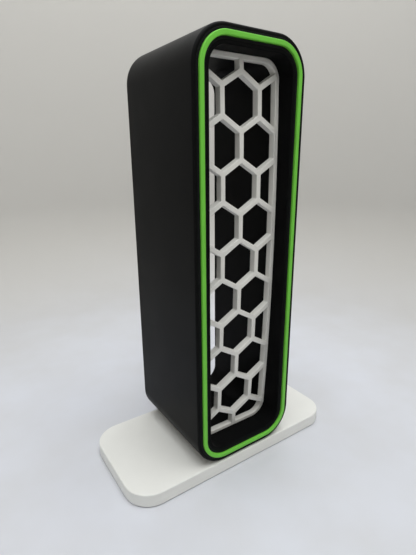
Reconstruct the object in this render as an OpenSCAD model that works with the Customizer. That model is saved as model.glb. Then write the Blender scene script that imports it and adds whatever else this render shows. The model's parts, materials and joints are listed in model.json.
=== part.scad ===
// Mesh Wi-Fi node: a tall see-through tower on a flat foot.
// The electronics sit in the 5 mm gap between an outer sleeve and an inner duct.
// Millimetres, +Z up, the front faces -Y. The origin is on the floor, under the middle.

/* [Tower] */
// Width of the tower, left to right
tower_w = 70; // [66:1:80]
// Height of the tower without its base
tower_h = 234; // [226:2:250]
// Depth of the tower, front to back, without the light ring
tower_depth = 70.8; // [68:0.1:80]
// Outer radius of the tower's four corners
tower_corner_r = 19; // [17:0.5:21]
// Full thickness of the tower's hollow wall
wall_w = 9; // [9:0.1:9.6]
// Thickness of the sleeve's and the duct's plastic
skin_t = 2; // [1.8:0.1:2]
// Rounding of the tower's outer edges
edge_r = 1.2; // [0.4:0.1:1.6]
// Thickness of the front and rear frames
frame_t = 3; // [2.6:0.1:3.2]

/* [Light ring] */
// Width of the light ring's face
ring_w = 2.6; // [2:0.1:3]
// How far the ring stands out of the front frame
ring_proud = 1.2; // [0.4:0.1:3]
// Depth of the groove that the ring sits in
ring_seat = 1.5; // [1:0.1:1.8]
// Rounding of the ring's front edges
ring_edge_r = 0.5; // [0.2:0.1:0.8]

/* [Grille] */
// Distance between neighbouring cells in a row
cell_pitch = 24; // [20:0.5:26]
// Height from one row of cells to the next
row_pitch = 21.2; // [20:0.1:22]
// Width of the bars between cells
strut_w = 2.8; // [2.4:0.1:4.5]
// Thickness of the lattice, front to back
grille_t = 4.4; // [2:0.1:5]
// Width of the grille's outer frame
grille_rim_w = 2.6; // [2:0.1:4]
// How far the lattice stands in front of its frame
lattice_proud = 0.5; // [0.2:0.1:1]
// Depth of the grille's middle behind the tower's front face
grille_setback = 8.4; // [6:0.1:10]
// Forward bow of the grille between its ends
grille_bow = 3; // [1:0.5:4]
// How much nearer the front the grille's top is than its middle
grille_lean = 1.5; // [0:0.1:2]
// Height of the lattice's middle above the duct's middle
lattice_rise = 1.2; // [0:0.1:2]

/* [Base] */
// Length of the base, left to right
base_w = 150; // [130:1:180]
// Depth of the base, front to back
base_depth = 70; // [66:1:71]
// Height of the base without its feet
base_h = 8; // [8:0.1:9]
// Radius of the base's corners
base_corner_r = 16; // [12:1:20]
// Rounding of the base's top edge
base_edge_r = 0.8; // [0.4:0.1:1.2]
// How far the feet stand out below the base
foot_proud = 0.5; // [0.3:0.1:1]

/* [Buttons and socket] */
// Travel of the pairing button
pair_travel = 0.4; // [0.2:0.1:0.5]
// Travel of the recessed reset pin
reset_travel = 0.3; // [0.2:0.1:0.4]
// Gap all round a button in its hole
button_gap = 0.3; // [0.3:0.05:0.4]

/* [Hidden] */
$fn = 64;
eps = 0.01;

// The tower's walls all turn about the same four corner centres
corner_x = tower_w / 2 - tower_corner_r;
corner_y = tower_h / 2 - tower_corner_r;
// Distances of the walls from those corner centres, from the outside in
sleeve_out = tower_corner_r;
sleeve_in = sleeve_out - skin_t;
duct_in = tower_corner_r - wall_w;
duct_out = duct_in + skin_t;
wall_mid = (sleeve_in + duct_out) / 2;
duct_w = tower_w - 2 * wall_w;
duct_h = tower_h - 2 * wall_w;
// Front and back faces of the tower in its own upright frame
front_z = (tower_depth - ring_proud) / 2;
back_z = front_z - tower_depth;
rear_inner_z = back_z + frame_t;
front_inner_z = front_z - frame_t;
base_top = foot_proud + base_h;
tower_mid_z = base_top + tower_h / 2;

// Light ring and its lamps
ring_r0 = wall_mid - ring_w / 2;
ring_r1 = wall_mid + ring_w / 2;
led_t = 0.6;
led_size = [2.8, 1.4];
led_board_t = 1;
led_pitch = 19;
led_port_r = 0.9;
led_strip_w = 4.2;
led_side = [for (i = [-4.5 : 4.5]) i * led_pitch];
led_end = [-10, 10];

// Long rods that pull the two frames together
rod_r = 1.5;
rod_offset = sleeve_in - rod_r - 0.2;
rod_boss_r = 1.6;
rod_boss_len = 5;
rod_stud_r = 0.95;
screw_bore_r = 0.8;
screw_shank_r = 0.75;
screw_head_r = 1.5;
screw_head_t = 1;
screw_socket_r = 0.85;
screw_socket_t = 0.7;
screw_len = 8;

// Warm-air slots in the rear frame
vent_w = 2;
vent_len = 8;
vent_pitch = 12;

// Grille
grille_fit = 0.1;
lattice_margin = 1.4;
lattice_back = 0.2;
grille_mid_z = front_z - grille_setback;
bow_r = (pow(duct_h / 2, 2) + pow(grille_bow, 2)) / (2 * grille_bow);
lean_angle = atan(grille_lean / (duct_h / 2));
cell_r = (cell_pitch - strut_w) / sqrt(3);
cell_stretch = row_pitch / (cell_pitch * sqrt(3) / 2);
lug_len = 8;
lug_reach = 1.8;
lug_t = 2;
lug_rows = [-92, 0, 92];
lug_gap = 0.3;

// Main board, on the right wall of the sleeve
board_t = 1;
board_h = 160;
board_depth = 52;
board_boss_t = 1;
board_x = corner_x + sleeve_in - board_boss_t - board_t;
board_mid_y = -12;
board_mid_z = -4;
board_boss_r = 2.5;
board_screw_y = 76;
board_screw_z = 22;
board_screw_head_r = 1.8;
board_screw_head_t = 0.8;
board_screw_len = 2.6;
processor_size = 14;
processor_t = 1;
processor_y = 10;
memory_size = [9, 12];
memory_t = 0.9;
memory_y = -14;
memory_z = [board_mid_z - 8, board_mid_z + 8];
shield_size = [26, 30];
shield_t = 1.4;
shield_y = [-56, 34];
spreader_x = corner_x + duct_out;
spreader_t = 1.5;
spreader_size = [44, 44];
spreader_y = -2;
connector_r = 1.3;
connector_t = 2.8;
connector_y = 60;
// One depth for each antenna cable, from the back to the front
cable_z = [-24, -16, -8, 0];

// Antennas and their cables
antenna_t = 0.8;
antenna_w = 16;
antenna_len = 52;
antenna_offset = sleeve_in - 0.2;
antenna_upper_y = 60;
antenna_lower_y = -10;
antenna_right_y = 84;
antenna_right_len = 22;
antenna_top_len = 2 * corner_x - 4;
feed_w = 2;
cable_r = 0.55;
cable_offset = duct_out + cable_r + 0.2;
cable_start_y = connector_y + connector_r + 0.05;

// Power socket and its board, in the bottom wall
power_board_size = [28, 24];
power_board_y = -(corner_y + sleeve_in) + 0.3;
inlet_w = 9;
inlet_h = 3.2;
inlet_len = 7.6;
inlet_wall = 0.3;
inlet_gap = 0.15;
inlet_recess = 0.2;
inlet_y = power_board_y + board_t + inlet_h / 2;
inlet_back_wall = 1;
tongue_w = 6.7;
tongue_t = 0.7;
part_row_z = rear_inner_z + 17;
inductor_x = 7;
inductor_size = 7;
inductor_t = 2.4;
capacitor_x = [-11, -7, -3];
capacitor_w = 2.5;
capacitor_len = 3.2;
capacitor_t = 1.6;
lead_r = 0.7;
lead_z = -20;
lead_offset = duct_out + lead_r + 0.2;
plug_w = 5;
plug_len = 3;
plug_gap = 0.1;
ribbon_t = 0.15;
ribbon_w = 5;
ribbon_z = -26;
ribbon_left_y = -70;

// Buttons, in the left wall of the rear frame
button_x = -(corner_x + wall_mid);
pair_y = -60;
pair_len = 9;
pair_w = 3;
reset_y = -78;
reset_r = 0.7;
reset_recess = 1;
flange_t = 0.8;
flange_gap = 0.1;
switch_size = [3.4, 3.4];
switch_t = 1.5;
button_board_w = 4.2;
button_board_len = 34;
pair_flange = 0.6;
reset_flange = 0.9;
plunger_r = 0.8;
plunger_t = 0.5;
pair_tip_z = rear_inner_z + flange_gap + flange_t;
reset_tip_z = pair_tip_z + pair_travel - reset_travel;
plunger_tip_z = pair_tip_z + pair_travel + 0.05;
switch_back_z = plunger_tip_z + plunger_t + switch_t;

// Base
base_y = -0.5;
base_wall = 2.4;
cover_t = 1.6;
cover_gap = 0.2;
ballast_size = [100, 46];
ballast_corner_r = 4;
anchor_size = [26, 34];
anchor_t = 3;
anchor_z = 9;
base_screw_r = 1.5;
base_screw_gap = 0.2;
base_screw_head_r = 3;
base_screw_head_t = 2.4;
base_socket_r = 1.4;
base_socket_t = 1.4;
base_screw_pitch = 22;
base_screw_y = [-anchor_z - base_screw_pitch / 2, -anchor_z + base_screw_pitch / 2];
cover_screw_x = 30;
cover_screw_y = 28;
cover_screw_len = 3;
cover_boss_r = 3;
foot_r = 6;
foot_seat = 0.7;
foot_x = 60;
foot_y = 20;
label_size = [50, 24];
label_t = 0.2;
label_corner_r = 2;

// ---------------------------------------------------------------- helpers

// Stands the tower's own frame upright: x right, y up, z towards the front
module tower() {
    translate([0, 0, tower_mid_z]) rotate([90, 0, 0]) children();
}

// Carries a cross-section once round the tower's outline.
// Its x is the distance from the corner centres, its y runs from back to front.
module around_tower() {
    for (side = [0 : 3]) {
        across = side % 2 == 0;
        reach = across ? corner_x : corner_y;
        run = across ? corner_y : corner_x;
        rotate([0, 0, 90 * side]) {
            translate([reach, 0, 0]) rotate([90, 0, 0])
                linear_extrude(2 * run, center = true) children();
            translate([reach, run, 0]) rotate_extrude(angle = 90) children();
        }
    }
}

// A flat cross-section from radius r0 to r1 and from depth z0 to z1
module section(r0, r1, z0, z1) {
    translate([r0, z0]) square([r1 - r0, z1 - z0]);
}

// The same, with its two edges at r1 rounded
module section_round_out(r0, r1, z0, z1, r) {
    section(r0, r1 - r, z0, z1);
    section(r0, r1, z0 + r, z1 - r);
    intersection() {
        for (z = [z0 + r, z1 - r]) translate([r1 - r, z]) circle(r);
        section(r0, r1, z0, z1);
    }
}

// The same, with its two edges at r0 rounded
module section_round_in(r0, r1, z0, z1, r) {
    section(r0 + r, r1, z0, z1);
    section(r0, r1, z0 + r, z1 - r);
    for (z = [z0 + r, z1 - r]) translate([r0 + r, z]) circle(r);
}

module rounded_rect(w, h, r) {
    square([w - 2 * r, h], center = true);
    square([w, h - 2 * r], center = true);
    for (x = [-1, 1], y = [-1, 1]) translate([x * (w / 2 - r), y * (h / 2 - r)]) circle(r);
}

// A box given by its middle in y and z and its near and far x
module wall_box(x0, x1, y, z, h, d) {
    translate([x0, y - h / 2, z - d / 2]) cube([x1 - x0, h, d]);
}

// Places its children at the four rods, in the corners of the hollow wall
module at_rods() {
    for (sx = [-1, 1], sy = [-1, 1])
        translate([
            sx * (corner_x + rod_offset * cos(45)),
            sy * (corner_y + rod_offset * sin(45)),
            0
        ]) children();
}

// Places its children at each lamp, with x along the ring
module at_leds() {
    for (side = [-1, 1]) {
        for (y = led_side) translate([side * (corner_x + wall_mid), y, 0]) rotate([0, 0, 90]) children();
        for (x = led_end) translate([x, side * (corner_y + wall_mid), 0]) children();
    }
}

// Places its children at the four corners of the main board
module at_board_screws() {
    for (y = [-1, 1], z = [-1, 1])
        translate([board_x, board_mid_y + y * board_screw_y, board_mid_z + z * board_screw_z])
            rotate([0, 90, 0]) children();
}

module at_base_screws() {
    for (y = base_screw_y) translate([0, y, 0]) children();
}

module at_cover_screws() {
    for (x = [-1, 1], y = [-1, 1])
        translate([x * cover_screw_x, base_y + y * cover_screw_y, 0]) children();
}

// ---------------------------------------------------------------- shell

module outer_sleeve() {
    color("#1d1f21") difference() {
        tower() difference() {
            union() {
                around_tower() section_round_out(sleeve_in, sleeve_out, back_z, front_z, edge_r);
                at_board_screws() translate([0, 0, board_t])
                    cylinder(r = board_boss_r, h = board_boss_t + eps);
            }
            at_board_screws() cylinder(r = screw_bore_r, h = board_screw_len + 0.4);
        }
        at_base_screws() translate([0, 0, base_top - 1])
            cylinder(r = base_screw_r + base_screw_gap, h = skin_t + 2);
    }
}

module inner_duct() {
    color("#141517") tower() {
        around_tower() section_round_in(duct_in, duct_out, back_z, front_z, edge_r / 2);
        for (side = [-1, 1], y = lug_rows) {
            u = y / (duct_h / 2);
            back = grille_mid_z - grille_bow * u * u + grille_lean * u - grille_t - lug_gap;
            translate([side * (duct_w / 2 - lug_reach / 2 + eps / 2), y, back - lug_t / 2])
                cube([lug_reach + eps, lug_len, lug_t], center = true);
        }
    }
}

module front_frame() {
    color("#18191b") tower() difference() {
        union() {
            around_tower() section(duct_out, sleeve_in, front_inner_z, front_z);
            at_rods() translate([0, 0, front_inner_z - rod_boss_len])
                cylinder(r = rod_boss_r, h = rod_boss_len + 1);
        }
        around_tower() section(ring_r0, ring_r1, front_z - ring_seat, front_z + 1);
        at_leds() translate([0, 0, front_inner_z - 1]) cylinder(r = led_port_r, h = frame_t);
        at_rods() translate([0, 0, front_inner_z - rod_boss_len - 1])
            cylinder(r = rod_stud_r, h = rod_boss_len + 1);
    }
}

module light_ring() {
    color("#5fae35") tower() around_tower()
        difference() {
            section(ring_r0, ring_r1, front_z - ring_seat, front_z + ring_proud);
            for (side = [-1, 1]) translate([wall_mid + side * ring_w / 2, front_z + ring_proud])
                difference() {
                    square(2 * ring_edge_r, center = true);
                    translate([-side * ring_edge_r, -ring_edge_r]) circle(ring_edge_r);
                }
        }
}

module rear_frame() {
    color("#18191b") tower() difference() {
        around_tower() section(duct_out, sleeve_in, back_z, rear_inner_z);
        at_rods() {
            translate([0, 0, back_z - 1]) cylinder(r = screw_shank_r + 0.1, h = frame_t + 2);
            translate([0, 0, back_z - 1]) cylinder(r = screw_head_r, h = screw_head_t + 1);
        }
        translate([0, inlet_y, back_z - 1]) linear_extrude(frame_t + 2)
            rounded_rect(inlet_w + 2 * inlet_gap, inlet_h + 2 * inlet_gap, inlet_h / 2);
        translate([button_x, pair_y, back_z - 1]) linear_extrude(frame_t + 2)
            pill(pair_w + 2 * button_gap, pair_len + 2 * button_gap);
        translate([button_x, reset_y, back_z - 1]) cylinder(r = reset_r + button_gap, h = frame_t + 2);
        rear_vents();
    }
}

// Rows of plain slots that let warm air out beside the main board
module rear_vents() {
    for (row = [-6 : 6])
        translate([corner_x + wall_mid, row * vent_pitch, back_z])
            cube([vent_w, vent_len, 3 * frame_t], center = true);
}

module pill(w, h) {
    square([w, h - w], center = true);
    for (side = [-1, 1]) translate([0, side * (h - w) / 2]) circle(w / 2);
}

module tie_rods() {
    color("silver") tower() at_rods() difference() {
        union() {
            translate([0, 0, rear_inner_z])
                cylinder(r = rod_r, h = front_inner_z - rod_boss_len - rear_inner_z);
            translate([0, 0, front_inner_z - rod_boss_len - eps])
                cylinder(r = rod_stud_r - 0.03, h = rod_boss_len - 1);
        }
        translate([0, 0, rear_inner_z - eps]) cylinder(r = screw_bore_r, h = screw_len + 1);
    }
}

// Hexagon socket in the head of a small screw
module screw_socket() {
    translate([0, 0, -eps]) cylinder(r = screw_socket_r, h = screw_socket_t, $fn = 6);
}

module rear_screws() {
    color("#2a2b2d") tower() at_rods() translate([0, 0, back_z]) difference() {
        union() {
            translate([0, 0, 0.1]) cylinder(r = screw_head_r - 0.1, h = screw_head_t - 0.1);
            translate([0, 0, screw_head_t - eps]) cylinder(r = screw_shank_r, h = screw_len);
        }
        screw_socket();
    }
}

// ---------------------------------------------------------------- grille

// A shell bowed towards the front and leaning with the grille, between two depths
module bowed_shell(front, back) {
    translate([0, 0, grille_mid_z]) rotate([lean_angle, 0, 0])
        translate([0, 0, -bow_r]) rotate([0, 90, 0]) difference() {
            cylinder(r = bow_r - front, h = duct_w, center = true, $fn = 1440);
            cylinder(r = bow_r - back, h = duct_w + 2, center = true, $fn = 1440);
        }
}

module grille_outline(inset) {
    r = duct_in - grille_fit - inset;
    rounded_rect(duct_w - 2 * (grille_fit + inset), duct_h - 2 * (grille_fit + inset), r);
}

// One pointed-top cell, slightly taller than a regular hexagon
module cell() {
    polygon([for (a = [30 : 60 : 330]) [cell_r * cos(a), cell_stretch * cell_r * sin(a)]]);
}

// Odd rows hold two cells, even rows hold one and a part cell on each side
module cells() {
    for (row = [-5 : 5]) {
        columns = row % 2 == 0 ? [-1, 0, 1] : [-0.5, 0.5];
        for (column = columns)
            translate([column * cell_pitch, row * row_pitch + lattice_rise]) cell();
    }
}

module honeycomb_grille() {
    color("#e8e6e0") tower() {
        intersection() {
            bowed_shell(lattice_proud, grille_t);
            linear_extrude(front_z) difference() {
                grille_outline(0);
                grille_outline(grille_rim_w);
            }
        }
        intersection() {
            bowed_shell(0, grille_t - lattice_back);
            linear_extrude(front_z) difference() {
                grille_outline(lattice_margin);
                cells();
            }
        }
    }
}

// ---------------------------------------------------------------- lamps

module led_strips() {
    board_z = front_inner_z - led_t - led_board_t;
    color("#1f5c37") tower() for (side = [-1, 1]) {
        translate([side * (corner_x + wall_mid), 0, board_z + led_board_t / 2])
            cube([led_strip_w, 2 * corner_y - 6, led_board_t], center = true);
        translate([0, side * (corner_y + wall_mid), board_z + led_board_t / 2])
            cube([2 * corner_x - 4, led_strip_w, led_board_t], center = true);
    }
}

module ring_leds() {
    color("#f4f1d8") tower() at_leds()
        translate([0, 0, front_inner_z - led_t / 2]) cube([led_size[0], led_size[1], led_t], center = true);
}

// ---------------------------------------------------------------- main board

module main_board() {
    color("#1f5c37") tower() difference() {
        wall_box(board_x, board_x + board_t, board_mid_y, board_mid_z, board_h, board_depth);
        at_board_screws() translate([0, 0, -1]) cylinder(r = screw_bore_r + 0.3, h = 3);
    }
}

module board_screws() {
    color("silver") tower() at_board_screws() {
        translate([0, 0, -board_screw_head_t]) cylinder(r = board_screw_head_r, h = board_screw_head_t);
        translate([0, 0, -eps]) cylinder(r = screw_shank_r, h = board_screw_len);
    }
}

module processor() {
    color("#303236") tower()
        wall_box(board_x - processor_t, board_x, processor_y, board_mid_z, processor_size, processor_size);
}

module memory_chips() {
    color("#26282b") tower() for (z = memory_z)
        wall_box(board_x - memory_t, board_x, memory_y, z, memory_size[0], memory_size[1]);
}

module radio_shields() {
    color("#b9bcc0") tower() for (y = shield_y)
        wall_box(board_x - shield_t, board_x, y, board_mid_z, shield_size[0], shield_size[1]);
}

module heat_spreader() {
    color("#c4c7cb") tower()
        wall_box(
            spreader_x, spreader_x + spreader_t, spreader_y, board_mid_z,
            spreader_size[0], spreader_size[1]
        );
}

// A soft pad on each chip, filling the step up to the heat spreader
module thermal_pads() {
    pad_x = spreader_x + spreader_t;
    color("#8fa7b5") tower() {
        wall_box(
            pad_x, board_x - processor_t, processor_y, board_mid_z,
            processor_size - 1, processor_size - 1
        );
        for (z = memory_z)
            wall_box(pad_x, board_x - memory_t, memory_y, z, memory_size[0] - 1, memory_size[1] - 1);
    }
}

module coax_connectors() {
    color("#c9a94f") tower() for (z = cable_z)
        translate([board_x - connector_t, connector_y, z]) rotate([0, 90, 0])
            cylinder(r = connector_r, h = connector_t);
}

// ---------------------------------------------------------------- antennas

// A flat antenna on the outer wall, with a feed post that reaches in to its cable.
// It stands in its own frame: x outwards, y along the cable, z towards the front.
module antenna(len) {
    translate([antenna_offset - antenna_t, -len / 2, -antenna_w / 2]) cube([antenna_t, len, antenna_w]);
    translate([cable_offset - cable_r, -feed_w / 2, -feed_w / 2])
        cube([antenna_offset - antenna_t - cable_offset + cable_r + eps, feed_w, feed_w]);
}

module antenna_left_upper() {
    color("#23633e") tower() translate([-corner_x, antenna_upper_y, cable_z[1]])
        rotate([0, 0, 180]) antenna(antenna_len);
}

module antenna_left_lower() {
    color("#23633e") tower() translate([-corner_x, antenna_lower_y, cable_z[0]])
        rotate([0, 0, 180]) antenna(antenna_len);
}

module antenna_top() {
    color("#23633e") tower() translate([0, corner_y, cable_z[2]])
        rotate([0, 0, 90]) antenna(antenna_top_len);
}

module antenna_right() {
    color("#23633e") tower() translate([corner_x, antenna_right_y, cable_z[3]])
        antenna(antenna_right_len);
}

// Cables run up the right wall and over the top, in quarter turns about the corner centres
module cable_up_right(z, to_y) {
    translate([corner_x + cable_offset, cable_start_y, z]) rotate([-90, 0, 0])
        cylinder(r = cable_r, h = to_y - cable_start_y, $fn = 32);
}

module cable_corner(z, turn) {
    side = turn == 0 ? 1 : -1;
    translate([side * corner_x, corner_y, z]) rotate([0, 0, turn])
        rotate_extrude(angle = 90) translate([cable_offset, 0]) circle(cable_r, $fn = 32);
}

module cable_over_top(z, to_x) {
    translate([to_x, corner_y + cable_offset, z]) rotate([0, 90, 0])
        cylinder(r = cable_r, h = corner_x - to_x, $fn = 32);
}

module cable_to_left(z, to_y) {
    cable_up_right(z, corner_y);
    cable_corner(z, 0);
    cable_over_top(z, -corner_x);
    cable_corner(z, 90);
    translate([-corner_x - cable_offset, to_y, z]) rotate([-90, 0, 0])
        cylinder(r = cable_r, h = corner_y - to_y, $fn = 32);
}

module cable_left_lower() {
    color("#c8cbd0") tower() cable_to_left(cable_z[0], antenna_lower_y + feed_w / 2);
}

module cable_left_upper() {
    color("#2d2f33") tower() cable_to_left(cable_z[1], antenna_upper_y + feed_w / 2);
}

module cable_top() {
    color("#c8cbd0") tower() {
        cable_up_right(cable_z[2], corner_y);
        cable_corner(cable_z[2], 0);
        cable_over_top(cable_z[2], feed_w / 2);
    }
}

module cable_right() {
    color("#2d2f33") tower() cable_up_right(cable_z[3], antenna_right_y - feed_w / 2);
}

// ---------------------------------------------------------------- power

module power_board() {
    color("#1f5c37") tower()
        translate([-power_board_size[0] / 2, power_board_y, rear_inner_z + 0.5])
            cube([power_board_size[0], board_t, power_board_size[1]]);
}

module power_inlet() {
    color("#b5b8bc") tower() translate([0, inlet_y, back_z + inlet_recess]) difference() {
        linear_extrude(inlet_len) rounded_rect(inlet_w, inlet_h, inlet_h / 2 - eps);
        translate([0, 0, -inlet_back_wall]) linear_extrude(inlet_len)
            rounded_rect(inlet_w - 2 * inlet_wall, inlet_h - 2 * inlet_wall, inlet_h / 2 - inlet_wall - eps);
    }
}

module inlet_tongue() {
    tongue_z = back_z + inlet_recess + 1;
    root_z = back_z + inlet_recess + inlet_len - inlet_back_wall;
    color("#202226") tower() translate([0, inlet_y, (tongue_z + root_z) / 2])
        cube([tongue_w, tongue_t, root_z - tongue_z], center = true);
}

module power_inductor() {
    color("#3a3b3e") tower()
        translate([inductor_x, power_board_y + board_t + inductor_t / 2, part_row_z])
            cube([inductor_size, inductor_t, inductor_size], center = true);
}

module power_capacitors() {
    color("#a9834f") tower() for (x = capacitor_x)
        translate([x, power_board_y + board_t + capacitor_t / 2, part_row_z])
            cube([capacitor_w, capacitor_t, capacitor_len], center = true);
}

// Lead from the power board round the bottom right corner to the main board, with its two plugs
module power_lead() {
    start_x = power_board_size[0] / 2 - plug_gap;
    end_y = board_mid_y - board_h / 2 + 1;
    plug_top = -corner_y - duct_out - plug_gap;
    board_top = power_board_y + board_t;
    color("#a3262a") tower() {
        translate([start_x - plug_len, board_top, lead_z - plug_w / 2])
            cube([plug_len, plug_top - board_top, plug_w]);
        translate([start_x - eps, -corner_y - lead_offset, lead_z]) rotate([0, 90, 0])
            cylinder(r = lead_r, h = corner_x - start_x + eps, $fn = 32);
        translate([corner_x, -corner_y, lead_z]) rotate([0, 0, -90])
            rotate_extrude(angle = 90) translate([lead_offset, 0]) circle(lead_r, $fn = 32);
        translate([corner_x + lead_offset, -corner_y, lead_z]) rotate([-90, 0, 0])
            cylinder(r = lead_r, h = corner_y + end_y + eps, $fn = 32);
        translate([corner_x + duct_out + plug_gap, end_y, lead_z - plug_w / 2])
            cube([board_x - corner_x - duct_out - plug_gap, plug_len, plug_w]);
    }
}

// ---------------------------------------------------------------- buttons

// Flat ribbon that lies on the duct, from the button board under the bottom to the main board
module button_ribbon() {
    r0 = duct_out;
    r1 = duct_out + ribbon_t;
    z0 = ribbon_z - ribbon_w / 2;
    z1 = ribbon_z + ribbon_w / 2;
    right_y = board_mid_y - board_h / 2 + plug_len;
    color("#b87333") tower() {
        translate([-corner_x - r1, -corner_y, z0]) cube([ribbon_t, corner_y + ribbon_left_y, ribbon_w]);
        translate([-corner_x, -corner_y, 0]) rotate([0, 0, 180])
            rotate_extrude(angle = 90) section(r0, r1, z0, z1);
        translate([-corner_x, -corner_y - r1, z0]) cube([2 * corner_x, ribbon_t, ribbon_w]);
        translate([corner_x, -corner_y, 0]) rotate([0, 0, -90])
            rotate_extrude(angle = 90) section(r0, r1, z0, z1);
        translate([corner_x + r0, -corner_y, z0]) cube([ribbon_t, corner_y + right_y, ribbon_w]);
    }
}

module button_board() {
    color("#1f5c37") tower()
        translate([button_x, (pair_y + reset_y) / 2, switch_back_z + board_t / 2])
            cube([button_board_w, button_board_len, board_t], center = true);
}

module button_switches() {
    color("#3c3e42") tower() for (y = [pair_y, reset_y]) translate([button_x, y, switch_back_z]) {
        translate([0, 0, -switch_t / 2]) cube([switch_size[0], switch_size[1], switch_t], center = true);
        translate([0, 0, -switch_t - plunger_t]) cylinder(r = plunger_r, h = plunger_t + eps);
    }
}

module pair_button() {
    color("#2f3134") tower() translate([button_x, pair_y, 0]) {
        translate([0, 0, back_z]) linear_extrude(pair_tip_z - back_z) pill(pair_w, pair_len);
        translate([0, 0, rear_inner_z + flange_gap]) linear_extrude(flange_t)
            pill(pair_w + 2 * pair_flange, pair_len + 4 * pair_flange);
    }
}

module reset_pin() {
    color("#c4c7cb") tower() translate([button_x, reset_y, 0]) {
        translate([0, 0, back_z + reset_recess])
            cylinder(r = reset_r, h = reset_tip_z - back_z - reset_recess);
        translate([0, 0, rear_inner_z + flange_gap]) cylinder(r = reset_r + reset_flange, h = flange_t);
    }
}

// ---------------------------------------------------------------- base

// Steel plate inside the bottom wall that the base screws pull against
module anchor_plate() {
    anchor_y = -(corner_y + sleeve_in) + anchor_t / 2;
    color("#9fa3a8") difference() {
        tower() translate([0, anchor_y, anchor_z])
            cube([anchor_size[0], anchor_t, anchor_size[1]], center = true);
        at_base_screws() translate([0, 0, base_top]) cylinder(r = base_screw_r, h = 10);
    }
}

module base_shell() {
    color("#e9e9e4") difference() {
        translate([0, base_y, foot_proud]) {
            linear_extrude(base_h - base_edge_r) rounded_rect(base_w, base_depth, base_corner_r);
            base_top_edge();
        }
        base_pocket();
        at_base_screws() translate([0, 0, foot_proud])
            cylinder(r = base_screw_r + base_screw_gap, h = base_h + 1);
    }
    base_bosses();
}

// The rounded upper rim of the base, turned about its four corner centres
module base_top_edge() {
    r = base_edge_r;
    cx = base_w / 2 - base_corner_r;
    cy = base_depth / 2 - base_corner_r;
    translate([0, 0, base_h - r]) {
        linear_extrude(r) rounded_rect(base_w - 2 * r, base_depth - 2 * r, base_corner_r - r);
        for (sx = [-1, 1], sy = [-1, 1]) translate([sx * cx, sy * cy, 0]) rotate_extrude()
            intersection() {
                translate([base_corner_r - r, 0]) circle(r);
                square([base_corner_r, r]);
            }
        for (sx = [-1, 1]) translate([sx * (base_w / 2 - r), 0, 0]) rotate([90, 0, 0])
            cylinder(r = r, h = 2 * cy, center = true);
        for (sy = [-1, 1]) translate([0, sy * (base_depth / 2 - r), 0]) rotate([0, 90, 0])
            cylinder(r = r, h = 2 * cx, center = true);
    }
}

module base_pocket() {
    w = base_wall;
    translate([0, base_y, foot_proud - 1]) linear_extrude(base_h - w + 1)
        rounded_rect(base_w - 2 * w, base_depth - 2 * w, base_corner_r - w);
}

module base_bosses() {
    boss_z = foot_proud + cover_t;
    color("#e9e9e4") at_cover_screws() translate([0, 0, boss_z]) difference() {
        cylinder(r = cover_boss_r, h = base_top - base_wall - boss_z + eps);
        translate([0, 0, -eps]) cylinder(r = screw_bore_r, h = cover_screw_len);
    }
}

module ballast_plate() {
    plate_z = foot_proud + cover_t;
    color("#8b8f94") difference() {
        translate([0, base_y, plate_z]) linear_extrude(base_top - base_wall - plate_z)
            rounded_rect(ballast_size[0], ballast_size[1], ballast_corner_r);
        at_base_screws() translate([0, 0, plate_z - 1]) cylinder(r = base_screw_head_r + 1, h = base_h);
    }
}

module base_cover() {
    w = base_wall + cover_gap;
    color("#dededa") difference() {
        translate([0, base_y, foot_proud]) linear_extrude(cover_t)
            rounded_rect(base_w - 2 * w, base_depth - 2 * w, base_corner_r - w);
        at_cover_screws() {
            cylinder(r = screw_shank_r + 0.1, h = base_top);
            translate([0, 0, foot_proud - 1]) cylinder(r = screw_head_r, h = screw_head_t + 1 + eps);
        }
        at_feet() translate([0, 0, foot_proud - eps]) cylinder(r = foot_r + 0.1, h = foot_seat);
    }
}

module at_feet() {
    for (x = [-1, 1], y = [-1, 1])
        translate([x * foot_x, base_y + y * foot_y, 0]) children();
}

module base_screws() {
    head_z = base_top - base_wall - base_screw_head_t;
    color("silver") at_base_screws() translate([0, 0, head_z]) difference() {
        union() {
            cylinder(r = base_screw_head_r, h = base_screw_head_t);
            translate([0, 0, base_screw_head_t - eps])
                cylinder(r = base_screw_r - 0.03, h = base_wall + skin_t + anchor_t);
        }
        translate([0, 0, -eps]) cylinder(r = base_socket_r, h = base_socket_t, $fn = 6);
    }
}

module cover_screws() {
    color("silver") at_cover_screws() translate([0, 0, foot_proud]) difference() {
        union() {
            translate([0, 0, 0.1]) cylinder(r = screw_head_r - 0.1, h = screw_head_t - 0.1);
            translate([0, 0, screw_head_t - eps]) cylinder(r = screw_shank_r, h = cover_screw_len);
        }
        screw_socket();
    }
}

module rubber_feet() {
    color("#3a3b3d") at_feet() cylinder(r = foot_r, h = foot_proud + foot_seat - 0.05);
}

module rating_label() {
    color("#c9c9c5") translate([0, base_y, foot_proud - label_t])
        linear_extrude(label_t) rounded_rect(label_size[0], label_size[1], label_corner_r);
}

outer_sleeve();
inner_duct();
front_frame();
light_ring();
led_strips();
ring_leds();
rear_frame();
tie_rods();
rear_screws();
honeycomb_grille();
main_board();
processor();
memory_chips();
radio_shields();
thermal_pads();
heat_spreader();
board_screws();
coax_connectors();
antenna_top();
antenna_left_upper();
antenna_left_lower();
antenna_right();
cable_top();
cable_left_upper();
cable_left_lower();
cable_right();
power_board();
power_inlet();
inlet_tongue();
power_inductor();
power_capacitors();
power_lead();
button_ribbon();
button_board();
button_switches();
pair_button();
reset_pin();
anchor_plate();
base_shell();
ballast_plate();
base_cover();
base_screws();
cover_screws();
rubber_feet();
rating_label();
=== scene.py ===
"""Looks of the mesh Wi-Fi node: its visible shells, grille, ring, base and rear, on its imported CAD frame.

Shapes are worked out in millimetres in two frames. The tower's own frame stands upright: x right, y up from
the tower's middle, z towards the front. The base uses the part's frame. Meshes are made in metres.
"""

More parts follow.
